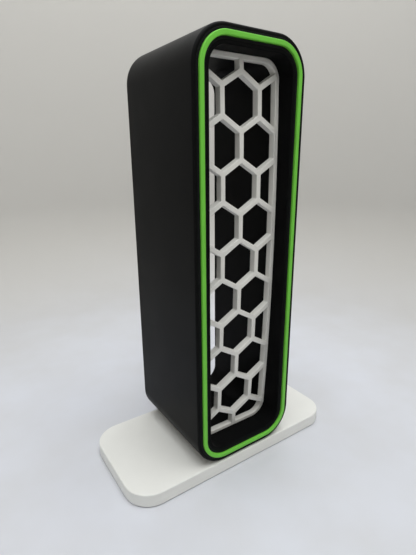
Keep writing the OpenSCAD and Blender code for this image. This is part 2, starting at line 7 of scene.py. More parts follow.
import json
import math

import bmesh
import bpy
from mathutils import Matrix, Vector
from mathutils.geometry import delaunay_2d_cdt


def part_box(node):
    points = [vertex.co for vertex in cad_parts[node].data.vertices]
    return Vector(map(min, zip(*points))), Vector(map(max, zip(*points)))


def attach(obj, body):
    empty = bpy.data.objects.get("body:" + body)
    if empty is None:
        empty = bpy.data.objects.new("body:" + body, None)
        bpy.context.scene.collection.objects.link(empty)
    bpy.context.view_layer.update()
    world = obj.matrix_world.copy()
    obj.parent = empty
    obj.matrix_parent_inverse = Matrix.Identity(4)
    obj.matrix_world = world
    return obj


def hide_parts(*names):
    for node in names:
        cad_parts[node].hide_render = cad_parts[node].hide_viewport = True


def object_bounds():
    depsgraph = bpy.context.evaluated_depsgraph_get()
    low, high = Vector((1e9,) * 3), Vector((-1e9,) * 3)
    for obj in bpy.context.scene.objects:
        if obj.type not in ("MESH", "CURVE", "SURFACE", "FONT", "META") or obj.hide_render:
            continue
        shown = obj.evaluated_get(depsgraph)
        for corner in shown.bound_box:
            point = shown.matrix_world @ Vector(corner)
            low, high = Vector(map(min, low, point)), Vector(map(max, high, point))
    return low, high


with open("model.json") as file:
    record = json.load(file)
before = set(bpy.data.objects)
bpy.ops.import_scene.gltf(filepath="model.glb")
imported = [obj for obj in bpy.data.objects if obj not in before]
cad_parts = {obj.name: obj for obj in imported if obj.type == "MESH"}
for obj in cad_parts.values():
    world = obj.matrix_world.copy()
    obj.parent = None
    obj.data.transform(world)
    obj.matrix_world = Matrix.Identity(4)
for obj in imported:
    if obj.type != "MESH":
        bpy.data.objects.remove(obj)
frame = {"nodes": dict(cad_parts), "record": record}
CAD_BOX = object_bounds()
MM = 0.001


def box_mm(node):
    low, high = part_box(node)
    return low / MM, high / MM


# ------------------------------------------------------------------ sizes, in mm

SLEEVE_LOW, SLEEVE_HIGH = box_mm("outer_sleeve")
DUCT_HIGH = box_mm("inner_duct")[1]
RING_LOW, RING_HIGH = box_mm("light_ring")
BASE_LOW, BASE_HIGH = box_mm("base_shell")
FEET_LOW, FEET_HIGH = box_mm("rubber_feet")
PAIR_LOW, PAIR_HIGH = box_mm("pair_button")
PIN_LOW, PIN_HIGH = box_mm("reset_pin")
INLET_LOW, INLET_HIGH = box_mm("power_inlet")
TONGUE_LOW, TONGUE_HIGH = box_mm("inlet_tongue")
SCREWS_LOW, SCREWS_HIGH = box_mm("rear_screws")

MID_Z = (SLEEVE_LOW.z + SLEEVE_HIGH.z) / 2
FRONT = -SLEEVE_LOW.y
BACK = -SLEEVE_HIGH.y
RING_FRONT = -RING_LOW.y

# The tower's walls and ring. DUCT_OUT, DUCT_IN, SLEEVE_IN, WALL_MID and the ring's radii are measured from the
# centres of the tower's rounded corners, which lie at CORNER_X and CORNER_Y.
CORNER_R = 19.0
CORNER_X = SLEEVE_HIGH.x - CORNER_R
CORNER_Y = (SLEEVE_HIGH.z - SLEEVE_LOW.z) / 2 - CORNER_R
SKIN = 2.0
DUCT_OUT = DUCT_HIGH.x - CORNER_X
DUCT_IN = DUCT_OUT - SKIN
SLEEVE_IN = CORNER_R - SKIN
WALL_MID = (SLEEVE_IN + DUCT_OUT) / 2
FRAME_T = 3.0
EDGE_R = 1.2
DUCT_EDGE_R = 0.6
SEAM_R = 0.18
REAR_EDGE_R = 0.08
RING_R1 = RING_HIGH.x - CORNER_X
RING_R0 = 2 * WALL_MID - RING_R1
RING_SEAT = 1.5
RING_EDGE_R = 0.5
RING_GAP = 0.06
RING_BACK_R = 0.1

# The lugs that stop the grille
LUG_W, LUG_H, LUG_T = 2.4, 8.0, 2.0
LUG_CORNER_R, LUG_EDGE_R = 0.5, 0.25
LUG_ROWS = (-92, 0, 92)
LUG_PROUD = 0.6
LUG_GAP = 0.3

# The grille. Its lattice bows forward between its ends and leans back at the bottom.
GRILLE_FIT = 0.1
GRILLE_SETBACK = 8.4
GRILLE_BOW = 3.0
GRILLE_LEAN = 1.5
LATTICE_RISE = 1.2
CELL_PITCH = 24.0
ROW_PITCH = 21.2
ROWS_EACH_WAY = 5
EVEN_ROW, ODD_ROW = (-1, 0, 1), (-0.5, 0.5)
STRUT_W = 2.8
RIM_W = 2.6
LATTICE_MARGIN = 0.5
BAR_END = 1.5
BAR_SINK = 1.0
LATTICE_PROUD = 0.5
LATTICE_DEPTH = 4.2
RIM_DEPTH = 4.4
RIM_BACK_R, RIM_OUTER_R, RIM_INNER_R = 0.3, 0.5, 0.4
OUTLINE_SLACK = 0.1
MOUTH_TURN = 25
MOUTH_CLEAR = 2.4
STRUT_EDGE_R = 0.32
CELL_CORNER_R = 0.7
MOUTH_CORNER_R = 0.45
HALF_DUCT_H = CORNER_Y + DUCT_IN

# The rear frame's vents, screws, button, pin and socket
WALL_X = CORNER_X + WALL_MID
VENT_W, VENT_H, VENT_R = 2.0, 8.0, 0.6
VENT_PITCH, VENTS_EACH_WAY = 12, 6
SCREW_HEAD_R, SCREW_HEAD_T = 1.4, 0.9
SCREW_SOCKET_R, SCREW_SOCKET_DEPTH = 0.85, 0.55
SCREW_SHANK_R, SCREW_SHANK = 0.75, 8.0
SCREW_EDGE_R = 0.2
SCREW_CORE_R = SCREW_HEAD_R - 0.1
SCREW_SUNK = 0.1
SCREW_HOLE_R = 1.5
PAIR_W, PAIR_H, PAIR_R = 3.0, 9.0, 1.48
PAIR_EDGE_R = 0.35
PAIR_HOLE_W, PAIR_HOLE_H, PAIR_HOLE_R = 3.6, 9.6, 1.75
PAIR_FLANGE_W, PAIR_FLANGE_H, PAIR_FLANGE_R = 4.2, 11.4, 2.05
FLANGE_T = 0.8
FLANGE_SUNK = 0.9
FLANGE_EDGE_R = 0.1
PIN_R, PIN_TIP_R = 0.7, 0.25
PIN_HOLE_R = 1.0
INLET_W, INLET_H, INLET_R = 9.0, 3.2, 1.58
INLET_BORE_W, INLET_BORE_H, INLET_BORE_R = 8.4, 2.6, 1.28
INLET_HOLE_W, INLET_HOLE_H, INLET_HOLE_R = 9.3, 3.5, 1.7
INLET_END_T = 1.0
INLET_EDGE_R = 0.12
BLADE_R, BLADE_EDGE_R = 0.12, 0.1
CONTACT_COUNT, CONTACT_PITCH = 12, 0.5
CONTACT_W, CONTACT_T, CONTACT_R = 0.26, 0.08, 0.03
CONTACT_ROOT, CONTACT_TIP = 0.4, 0.5
FINE_EDGE_R, CONTACT_EDGE_R = 0.05, 0.02

# The base
BASE_CORNER_R = 16.0
BASE_EDGE_R = 0.8
BASE_FLOOR_EDGE_R = 0.3
BASE_CHAMFER = 0.15
BASE_WALL = 2.4
FOOT_R = 6.0
FOOT_EDGE_R = 0.3

# How finely curves are drawn, and the small radius at which turned shapes close on their axis
CORNER_STEPS = 24
SIDE_STEP = 6.0
AXIS_R = 0.001

# The stage: radii and height in mm, and the distances in metres between which the floor turns greyer
FLOOR_R, BEND_R, STAGE_R = 150.0, 120.0, 420.0
WALL_TOP, WALL_FLARE = 620.0, 12.0
FLOOR_FADE = (0.16, 0.42)

# Light and view. Places are multiples of the object's height, the light's size is in metres, angles in degrees.
LIGHT_PLACE = (0.15, -1.1, 4.0)
LIGHT_SIZE, LIGHT_WATTS = 0.9, 4.5
LIGHT_COLOUR = (1, 0.99, 0.97)
AIR_COLOUR, AIR_STRENGTH = (0.96, 0.98, 1.0, 1), 1.62
VIEW_AZIMUTH, VIEW_ELEVATION, VIEW_ROLL = 34.042, -16.807, -0.449
VIEW_PLACE = (-0.566, -0.813, 0.764)
VIEW_LENS, VIEW_SENSOR = 26.03, 36.0


# ------------------------------------------------------------------ frames

def in_tower(x, y, z):
    """A point of the tower's frame, in mm, as a point of the part in metres."""
    return Vector((x, -z, y + MID_Z)) * MM


def lattice_front(y):
    """Where the bowed, leaning front of the lattice is at this height."""
    u = y / HALF_DUCT_H
    return FRONT - GRILLE_SETBACK - GRILLE_BOW * u * u + GRILLE_LEAN * u


def in_grille(x, y, z):
    """A point given by its depth from the front of the lattice."""
    return in_tower(x, y, lattice_front(y) + z)


def in_part(x, y, z):
    return Vector((x, y, z)) * MM


def from_behind(x, y, z):
    """A frame that looks at the tower's back: x left in the part, y up, z out of the back."""
    return in_tower(-x, y, -z)


def height_of(low, high):
    """The height of a box's middle in the tower's frame."""
    return (low.z + high.z) / 2 - MID_Z


# ------------------------------------------------------------------ outlines

def arc(centre, radius, start, end, steps):
    return [
        Vector((
            centre[0] + radius * math.cos(math.radians(start + (end - start) * i / steps)),
            centre[1] + radius * math.sin(math.radians(start + (end - start) * i / steps)),
        ))
        for i in range(steps + 1)
    ]


def rounded(points, radius, steps=4, least_turn=20):
    """A closed outline with each corner that turns by least_turn degrees or more rounded. radius is one
    number, or one for each point."""
    points = [Vector(p) for p in points]
    radii = radius if isinstance(radius, (list, tuple)) else [radius] * len(points)
    out = []
    for i, point in enumerate(points):
        back = (points[i - 1] - point).normalized()
        ahead = (points[(i + 1) % len(points)] - point).normalized()
        half = back.angle(ahead) / 2
        if radii[i] <= 0 or 180 - 2 * math.degrees(half) < least_turn:
            out.append(point)
            continue
        centre = point + (back + ahead).normalized() * radii[i] / math.sin(half)
        first = point + back * radii[i] / math.tan(half) - centre
        turn = first.angle_signed(point + ahead * radii[i] / math.tan(half) - centre)
        for k in range(steps + 1):
            out.append(centre + Matrix.Rotation(-turn * k / steps, 2) @ first)
    return out


def rounded_box(w, h, r, steps=12, centre=(0, 0)):
    x, y = w / 2 - r, h / 2 - r
    corners = [(x, y), (-x, y), (-x, -y), (x, -y)]
    return [
        p for k, c in enumerate(corners)
        for p in arc((c[0] + centre[0], c[1] + centre[1]), r, 90 * k, 90 * k + 90, steps)
    ]


def circle(r, steps=32, centre=(0, 0)):
    return arc(centre, r, 0, 360 - 360 / steps, steps - 1)


def turns_left(outline):
    return sum(p.cross(q) for p, q in zip(outline, outline[1:] + outline[:1])) > 0


def inset(outline, distance):
    """The outline moved to its left, with mitred corners."""
    out = []
    for i, point in enumerate(outline):
        first = (point - outline[i - 1]).normalized()
        second = (outline[(i + 1) % len(outline)] - point).normalized()
        a, b = Vector((-first.y, first.x)), Vector((-second.y, second.x))
        out.append(point + (a + b) * distance / (1 + a.dot(b)))
    return out


def stations(centre_x, centre_y, steps=CORNER_STEPS, side_step=SIDE_STEP):
    """Once round a rounded rectangle: pairs of a point on its inner rectangle and an outward direction."""
    corners = [Vector((sx * centre_x, sy * centre_y)) for sx, sy in ((1, 1), (-1, 1), (-1, -1), (1, -1))]
    found = []
    for k, corner in enumerate(corners):
        for i in range(steps + 1):
            angle = math.radians(90 * (k + i / steps))
            outward = Vector((math.cos(angle), math.sin(angle)))
            found.append((corner, outward))
        following = corners[(k + 1) % 4]
        count = math.ceil((following - corner).length / side_step)
        found += [(corner.lerp(following, j / count), outward) for j in range(1, count)]
    return found


# ------------------------------------------------------------------ meshes

def soft_object(name, verts, faces, sharp=50):
    """A closed mesh with outward normals, smooth except at edges sharper than `sharp` degrees."""
    mesh = bpy.data.meshes.new(name)
    mesh.from_pydata([tuple(v) for v in verts], [], faces)
    work = bmesh.new()
    work.from_mesh(mesh)
    bmesh.ops.remove_doubles(work, verts=work.verts, dist=1e-7)
    bmesh.ops.recalc_face_normals(work, faces=work.faces)
    work.to_mesh(mesh)
    work.free()
    mesh.shade_smooth()
    mesh.set_sharp_from_angle(angle=math.radians(sharp))
    made = bpy.data.objects.new(name, mesh)
    bpy.context.scene.collection.objects.link(made)
    return made


def sweep(profile, path, place, closed=True):
    """Vertices and faces of a cross-section carried round a path. Its x is the distance outwards, its y the
    height. An open cross-section is closed by a flat face at each end."""
    n, m = len(path), len(profile)
    verts = [
        place(*(base + outward * p[0]), p[1]) for base, outward in path for p in profile
    ]
    faces = [
        (i * m + j, (i + 1) % n * m + j, (i + 1) % n * m + (j + 1) % m, i * m + (j + 1) % m)
        for i in range(n) for j in range(m if closed else m - 1)
    ]
    if not closed:
        faces += [tuple(i * m for i in range(n)), tuple(i * m + m - 1 for i in range(n))]
    return verts, faces


def edge_levels(z0, z1, front_r, back_r, steps=4):
    """Pairs of inset and height that round a plate's front edge, go down its side and round its back edge."""
    quarter = [math.radians(90 * k / steps) for k in range(steps + 1)]
    front = [(front_r * (1 - math.sin(a)), z1 - front_r * (1 - math.cos(a))) for a in quarter]
    back = [(back_r * (1 - math.sin(a)), z0 + back_r * (1 - math.cos(a))) for a in quarter]
    return front + back[::-1]


def filled(shapes):
    """Triangles over the first outline where none of the others covers it, as flat vertices, triangles, and
    the given points that each vertex comes from."""
    points, faces = [], []
    for shape in shapes:
        index = list(range(len(points), len(points) + len(shape)))
        faces.append(index if turns_left(shape) else index[::-1])
        points += shape
    verts, _, triangles, origins, _, sources = delaunay_2d_cdt(points, [], faces, 1, 1e-5)
    return verts, [t for t, source in zip(triangles, sources) if source == [0]], origins


def plate(outlines, z0, z1, front_r, back_r, place, steps=4):
    """A flat plate with rounded edges. The first outline is its outside and the others are its holes."""
    loops = [o if turns_left(o) == (k == 0) else o[::-1] for k, o in enumerate(outlines)]
    levels = edge_levels(z0, z1, front_r, back_r, steps)
    verts, faces, caps = [], [], {0: [], len(levels) - 1: []}
    for loop in loops:
        start, n = len(verts), len(loop)
        for k, (distance, z) in enumerate(levels):
            ring = inset(loop, distance)
            if k in caps:
                caps[k].append((start + k * n, ring))
            verts += [place(p.x, p.y, z) for p in ring]
        faces += [
            (start + k * n + i, start + k * n + (i + 1) % n,
             start + (k + 1) * n + (i + 1) % n, start + (k + 1) * n + i)
            for k in range(len(levels) - 1) for i in range(n)
        ]
    for rings in caps.values():
        index = [first + i for first, ring in rings for i in range(len(ring))]
        _, triangles, origins = filled([ring for _, ring in rings])
        faces += [tuple(index[origins[i][0]] for i in t) for t in triangles]
    return verts, faces


def lathe(profile, place, centre=(0, 0), steps=32):
    """A turned shape about the z axis of its frame, from pairs of radius and height, closed at both ends."""
    path = [(Vector(centre), d) for d in circle(1, steps)]
    return sweep(profile, path, place, closed=False)


def joined(*parts):
    verts, faces = [], []
    for more_verts, more_faces in parts:
        shift = len(verts)
        verts += more_verts
        faces += [tuple(i + shift for i in f) for f in more_faces]
    return verts, faces


def loops_of(verts, faces):
    """The boundary loops of a flat set of faces."""
    following = {}
    edges = {(f[i - 1], f[i]) for f in faces for i in range(len(f))}
    for a, b in edges:
        if (b, a) not in edges:
            following[a] = b
    found = []
    while following:
        a, b = following.popitem()
        loop = [a]
        while b != a:
            loop.append(b)
            b = following.pop(b)
        found.append([Vector(verts[i]) for i in loop])
    return found


def turn_at(loop, i):
    return math.degrees((loop[i] - loop[i - 1]).angle(loop[(i + 1) % len(loop)] - loop[i]))


def without_straight_points(loop, least=0.5):
    """The loop without the points at which it doesn't turn."""
    return [point for i, point in enumerate(loop) if turn_at(loop, i) > least]


def cut_away(outline, cells):
    """The outline less the cells, as loops with the outside first."""
    verts, triangles, _ = filled([outline] + cells)
    loops = [without_straight_points(loop) for loop in loops_of(verts, triangles)]
    return sorted(loops, key=lambda loop: -max(p.length for p in loop))


# ------------------------------------------------------------------ node tools

class Shader:
    """A small helper that adds nodes to one material and links them."""

    def __init__(self, name):
        self.material = bpy.data.materials.new(name)
        self.material.use_nodes = True
        self.tree = self.material.node_tree
        self.surface = self.tree.nodes["Principled BSDF"]
        self.where = self.add("ShaderNodeTexCoord").outputs["Object"]

    def add(self, kind, inputs=None, **settings):
        node = self.tree.nodes.new(kind)
        for key, value in settings.items():
            setattr(node, key, value)
        for key, value in (inputs or {}).items():
            if isinstance(value, bpy.types.NodeSocket):
                self.tree.links.new(value, node.inputs[key])
            else:
                node.inputs[key].default_value = value
        return node

    def noise(self, size_mm, detail=3.0, rough=0.55, stretch=(1, 1, 1)):
        """Noise with features of about this size, drawn out along an axis where its stretch is under 1."""
        scaled = self.add("ShaderNodeMapping", {"Vector": self.where, "Scale": stretch})
        return self.add("ShaderNodeTexNoise", {
            "Vector": scaled.outputs["Vector"], "Scale": 1 / (size_mm * MM), "Detail": detail,
            "Roughness": rough,
        }).outputs["Fac"]

    def spread(self, value, low, high, source_low=0.3, source_high=0.7):
        return self.add("ShaderNodeMapRange", {
            "Value": value, "From Min": source_low, "From Max": source_high,
            "To Min": low, "To Max": high,
        }).outputs["Result"]

    def blend(self, factor, first, second):
        mix = self.add("ShaderNodeMix", data_type="RGBA")
        self.tree.links.new(factor, mix.inputs["Factor"])
        for socket, value in zip((mix.inputs[6], mix.inputs[7]), (first, second)):
            if isinstance(value, bpy.types.NodeSocket):
                self.tree.links.new(value, socket)
            else:
                socket.default_value = (*value, 1)
        return mix.outputs[2]

    def bump(self, height, depth_mm, below=None):
        inputs = {"Height": height, "Distance": depth_mm * MM, "Strength": 1.0}
        if below is not None:
            inputs["Normal"] = below
        return self.add("ShaderNodeBump", inputs).outputs["Normal"]

    def feed(self, **sockets):
        for key, value in sockets.items():
            socket = self.surface.inputs[key.replace("_", " ")]
            if isinstance(value, bpy.types.NodeSocket):
                self.tree.links.new(value, socket)
            else:
                socket.default_value = value
        return self.material


def tinted(colour, amount):
    return tuple(c * amount for c in colour)


# ------------------------------------------------------------------ materials

FLOOR_TONE = (0.64, 0.66, 0.715)
WALL_TONE = (0.50, 0.49, 0.465)
BLACK = (0.0075, 0.0078, 0.0083)
PATCH_MM = 22
SINK_MM, SINK_DEPTH = 9, 0.010
GLOSS_SPREAD = 0.05


def moulded_plastic(name, colour, rough, grain_mm=0.35, grain_depth=0.012, shift=0.08, specular=0.5):
    """Plastic from a spark-eroded mould: a fine even grain, with faint broad changes of tone and gloss."""
    s = Shader(name)
    broad = s.noise(PATCH_MM, 2)
    grain = s.noise(grain_mm, 2)
    tone = s.blend(s.spread(broad, 0, 1), tinted(colour, 1 - shift), tinted(colour, 1 + shift))
    speck = s.blend(s.spread(grain, 0, 0.35), tone, tinted(colour, 1 - 2 * shift))
    broad_gloss = s.spread(broad, -0.03, 0.03)
    fine_gloss = s.spread(grain, rough - GLOSS_SPREAD, rough + GLOSS_SPREAD)
    gloss = s.add("ShaderNodeMath", {0: broad_gloss, 1: fine_gloss})
    waves = s.bump(s.noise(SINK_MM, 1), SINK_DEPTH)
    return s.feed(
        Base_Color=speck, Roughness=gloss.outputs[0], Normal=s.bump(grain, grain_depth, waves),
        Specular_IOR_Level=specular,
    )


def silicone(name, colour, rough=0.75):
    """Rubber or cable jacket: matte, slightly dusty, with a soft sheen."""
    s = Shader(name)
    dust = s.noise(1.2, 4, 0.7)
    tone = s.blend(s.spread(dust, 0, 1), tinted(colour, 0.85), tinted(colour, 1.2))
    return s.feed(
        Base_Color=tone, Roughness=s.spread(dust, rough - 0.08, rough + 0.08),
        Normal=s.bump(s.noise(0.25, 2), 0.008), Sheen_Weight=0.15, Sheen_Roughness=0.5,
    )


def worked_metal(name, colour, rough, stretch=(1, 1, 1), grain_mm=0.25, depth=0.004):
    """Metal with the fine lines or speckle that its working leaves, and faint stains."""
    s = Shader(name)
    lines = s.noise(grain_mm, 3, 0.6, stretch)
    stain = s.noise(6, 3)
    tone = s.blend(s.spread(stain, 0, 1), tinted(colour, 0.9), tinted(colour, 1.05))
    return s.feed(
        Base_Color=tone, Metallic=1.0, Roughness=s.spread(lines, rough - 0.08, rough + 0.1),
        Normal=s.bump(lines, depth),
    )


def solder_mask(name, colour):
    """Circuit board: a glossy mask over copper tracks that run both ways on a fine grid."""
    s = Shader(name)
    tracks = s.add("ShaderNodeTexVoronoi", {"Vector": s.where, "Scale": 1 / (3.2 * MM), "Randomness": 0.6},
                   distance="CHEBYCHEV", feature="F1").outputs["Distance"]
    band = s.add("ShaderNodeMath", {0: tracks, 1: 5.0}, operation="MULTIPLY")
    line = s.add("ShaderNodeMath", {0: band.outputs[0], 1: 1.0}, operation="PINGPONG").outputs[0]
    edge = s.spread(line, 0, 1, 0.42, 0.58)
    tone = s.blend(edge, tinted(colour, 0.7), tinted(colour, 1.5))
    weave = s.noise(0.4, 2)
    return s.feed(
        Base_Color=tone, Roughness=s.spread(weave, 0.28, 0.42), Normal=s.bump(edge, 0.02),
        Coat_Weight=0.3, Coat_Roughness=0.25,
    )


def chip_epoxy(name, colour):
    """Moulded package: a sandy matte black with a few tiny pits."""
    s = Shader(name)
    sand = s.noise(0.12, 3)
    pits = s.add("ShaderNodeTexVoronoi", {"Vector": s.where, "Scale": 1 / (1.1 * MM)}).outputs["Distance"]
    tone = s.blend(s.spread(sand, 0, 1), tinted(colour, 0.8), tinted(colour, 1.35))
    return s.feed(
        Base_Color=tone, Roughness=s.spread(sand, 0.55, 0.75),
        Normal=s.bump(s.spread(pits, 0, 1, 0.0, 0.12), 0.01, s.bump(sand, 0.006)),
    )


def film(name, colour, rough=0.3):
    """Thin flexible film with faint lengthwise tracks under a glossy face."""
    s = Shader(name)
    tracks = s.noise(0.5, 1, 0.5, (1, 0.02, 1))
    tone = s.blend(s.spread(tracks, 0, 1, 0.45, 0.55), tinted(colour, 0.75), tinted(colour, 1.2))
    return s.feed(
        Base_Color=tone, Roughness=s.spread(s.noise(2, 2), rough - 0.06, rough + 0.08),
        Normal=s.bump(tracks, 0.01), Coat_Weight=0.4, Coat_Roughness=0.2,
    )


def studio_paint():
    """Pale floor that turns a little greyer away from the object, matte, with a barely visible mottling."""
    s = Shader("studio_pale")
    distance = s.add("ShaderNodeVectorMath", {0: s.where}, operation="LENGTH").outputs["Value"]
    tone = s.blend(s.spread(distance, 0, 1, *FLOOR_FADE), FLOOR_TONE, WALL_TONE)
    mottled = s.blend(s.spread(s.noise(60, 3), 0, 0.3), tone, WALL_TONE)
    return s.feed(Base_Color=mottled, Roughness=0.85, Normal=s.bump(s.noise(0.6, 2), 0.01),
                  Specular_IOR_Level=0.2)


LOOKS = {
    "shell_black": lambda n: moulded_plastic(n, tinted(BLACK, 0.5), 0.42, specular=0.06),
    # The liner's black is made a little darker than the sleeve's: painted shade for the shaded inside of the
    # tunnel, over the liner's own black.
    "duct_black": lambda n: moulded_plastic(n, tinted(BLACK, 0.45), 0.5, specular=0.04),
    "frame_black": lambda n: moulded_plastic(n, tinted(BLACK, 1.1), 0.5, specular=0.08),
    "ring_green": lambda n: moulded_plastic(n, (0.155, 0.56, 0.05), 0.5, grain_depth=0.008, shift=0.04,
                                            specular=0.35),
    "circuit_board": lambda n: solder_mask(n, (0.015, 0.10, 0.04)),
    "led_package": lambda n: moulded_plastic(n, (0.80, 0.76, 0.50), 0.3, grain_mm=0.2),
    "steel": lambda n: worked_metal(n, (0.62, 0.63, 0.65), 0.32),
    "screw_black": lambda n: worked_metal(n, (0.05, 0.05, 0.053), 0.42),
    "grille_white": lambda n: moulded_plastic(n, (0.74, 0.735, 0.70), 0.5, grain_mm=0.45,
                                              grain_depth=0.02, shift=0.03, specular=0.4),
    "chip_black": lambda n: chip_epoxy(n, (0.03, 0.03, 0.033)),
    "shield_tin": lambda n: worked_metal(n, (0.70, 0.71, 0.73), 0.3, stretch=(1, 0.05, 1)),
    "thermal_pad": lambda n: silicone(n, (0.30, 0.40, 0.48), 0.65),
    "aluminium": lambda n: worked_metal(n, (0.75, 0.76, 0.78), 0.35, stretch=(1, 0.03, 1)),
    "gold_contact": lambda n: worked_metal(n, (0.83, 0.62, 0.27), 0.22),
    "antenna_board": lambda n: solder_mask(n, (0.02, 0.13, 0.05)),
    "cable_grey": lambda n: silicone(n, (0.55, 0.56, 0.58), 0.5),
    "cable_black": lambda n: silicone(n, (0.03, 0.03, 0.035), 0.5),
    "socket_steel": lambda n: worked_metal(n, (0.66, 0.67, 0.69), 0.25),
    "inductor_grey": lambda n: chip_epoxy(n, (0.10, 0.10, 0.11)),
    "capacitor_tan": lambda n: chip_epoxy(n, (0.40, 0.26, 0.12)),
    "lead_red": lambda n: silicone(n, (0.45, 0.03, 0.03), 0.5),
    "ribbon_amber": lambda n: film(n, (0.50, 0.24, 0.06)),
    "switch_grey": lambda n: chip_epoxy(n, (0.08, 0.08, 0.09)),
    "button_grey": lambda n: moulded_plastic(n, (0.03, 0.031, 0.034), 0.45, specular=0.3),
    "pin_grey": lambda n: moulded_plastic(n, (0.50, 0.51, 0.53), 0.45),
    "base_white": lambda n: moulded_plastic(n, (0.795, 0.80, 0.77), 0.6, grain_mm=0.5,
                                            grain_depth=0.025, shift=0.02, specular=0.35),
    "ballast_steel": lambda n: worked_metal(n, (0.35, 0.36, 0.37), 0.55, grain_mm=0.6, depth=0.01),
    "cover_white": lambda n: moulded_plastic(n, (0.72, 0.72, 0.69), 0.65, grain_mm=0.5,
                                             grain_depth=0.02, shift=0.03),
    "foot_rubber": lambda n: silicone(n, (0.06, 0.06, 0.065)),
    "label_silver": lambda n: moulded_plastic(n, (0.55, 0.55, 0.53), 0.4, grain_mm=0.2,
                                              grain_depth=0.004, shift=0.02),
}
MATERIALS = {slot: make(slot) for slot, make in LOOKS.items()}


# ------------------------------------------------------------------ pieces

def piece(name, shape, slot, stands_for=(), body="node_body", sharp=50):
    """Makes a mesh piece, gives it its finish, and hangs it on its body in place of its CAD nodes."""
    made = soft_object(name, *shape, sharp=sharp)
    made.data.materials.append(MATERIALS[slot])
    weighted = made.modifiers.new("flat faces stay flat", "WEIGHTED_NORMAL")
    weighted.keep_sharp = True
    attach(made, body)
    if stands_for:
        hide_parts(*stands_for)
    return made


def tower_stations():
    return stations(CORNER_X, CORNER_Y)


def sleeve():
    profile = rounded(
        [(SLEEVE_IN, BACK), (CORNER_R, BACK), (CORNER_R, FRONT), (SLEEVE_IN, FRONT)],
        [SEAM_R, EDGE_R, EDGE_R, SEAM_R], 6,
    )
    piece("sleeve_shell", sweep(profile, tower_stations(), in_tower), "shell_black", ["outer_sleeve"])


def lug(x, y, back):
    """A small ledge on the duct's wall that the grille rests against."""
    outline = rounded_box(LUG_W, LUG_H, LUG_CORNER_R, 4, (x, y))
    return plate([outline], back - LUG_T, back, LUG_EDGE_R, LUG_EDGE_R, in_tower)


def duct():
    profile = rounded(
        [(DUCT_IN, BACK), (DUCT_OUT, BACK), (DUCT_OUT, FRONT), (DUCT_IN, FRONT)],
        [DUCT_EDGE_R, SEAM_R, SEAM_R, DUCT_EDGE_R], 6,
    )
    lug_x = CORNER_X + DUCT_IN - LUG_PROUD
    lugs = [
        lug(side * lug_x, y, lattice_front(y) - RIM_DEPTH - LUG_GAP)
        for side in (-1, 1) for y in LUG_ROWS
    ]
    shape = joined(sweep(profile, tower_stations(), in_tower), *lugs)
    piece("duct_liner", shape, "duct_black", ["inner_duct"])


def front_frame():
    seat = FRONT - RING_SEAT
    profile = rounded(
        [(DUCT_OUT, FRONT - FRAME_T), (SLEEVE_IN, FRONT - FRAME_T), (SLEEVE_IN, FRONT),
         (RING_R1, FRONT), (RING_R1, seat), (RING_R0, seat), (RING_R0, FRONT), (DUCT_OUT, FRONT)],
        [0, 0, SEAM_R, SEAM_R, 0, 0, SEAM_R, SEAM_R],
    )
    piece("front_bezel", sweep(profile, tower_stations(), in_tower), "frame_black", ["front_frame"])


def light_ring():
    r0, r1 = RING_R0 + RING_GAP, RING_R1 - RING_GAP
    back = FRONT - RING_SEAT
    profile = rounded(
        [(r0, back), (r1, back), (r1, RING_FRONT), (r0, RING_FRONT)],
        [RING_BACK_R, RING_BACK_R, RING_EDGE_R, RING_EDGE_R], 6,
    )
    piece("light_ring_band", sweep(profile, tower_stations(), in_tower), "ring_green", ["light_ring"])


def cell(column, row):
    """One pointed-top cell of the honeycomb, slightly taller than a regular hexagon."""
    radius = (CELL_PITCH - STRUT_W) / math.sqrt(3)
    stretch = ROW_PITCH / (CELL_PITCH * math.sqrt(3) / 2)
    centre = Vector((column * CELL_PITCH, row * ROW_PITCH + LATTICE_RISE))
    return [
        centre + Vector((
            radius * math.cos(math.radians(a)), stretch * radius * math.sin(math.radians(a))
        ))
        for a in range(30, 360, 60)
    ]


def off_outline(point, reach):
    """How far a point is outside the rounded rectangle that lies `reach` from the corner centres."""
    x, y = abs(point.x) - CORNER_X, abs(point.y) - CORNER_Y
    return math.hypot(max(x, 0), max(y, 0)) + min(max(x, y), 0) - reach


def without_crowding(loop, reach):
    """The loop without the outline's own points close to the sharp corners where a cell opens through it."""
    on_outline = [i for i, point in enumerate(loop) if off_outline(point, reach) > -OUTLINE_SLACK]
    mouths = [loop[i] for i in on_outline if turn_at(loop, i) > MOUTH_TURN]
    crowded = {
        i for i in on_outline
        if turn_at(loop, i) <= MOUTH_TURN and min((loop[i] - m).length for m in mouths) < MOUTH_CLEAR
    }
    return [point for i, point in enumerate(loop) if i not in crowded]


def with_crossings(loop, reach):
    """The loop with a point added wherever it crosses the rounded rectangle at `reach`."""
    out = []
    for point, following in zip(loop, loop[1:] + loop[:1]):
        out.append(point)
        a, b = off_outline(point, reach), off_outline(following, reach)
        if a * b < 0:
            out.append(point.lerp(following, a / (a - b)))
    return out


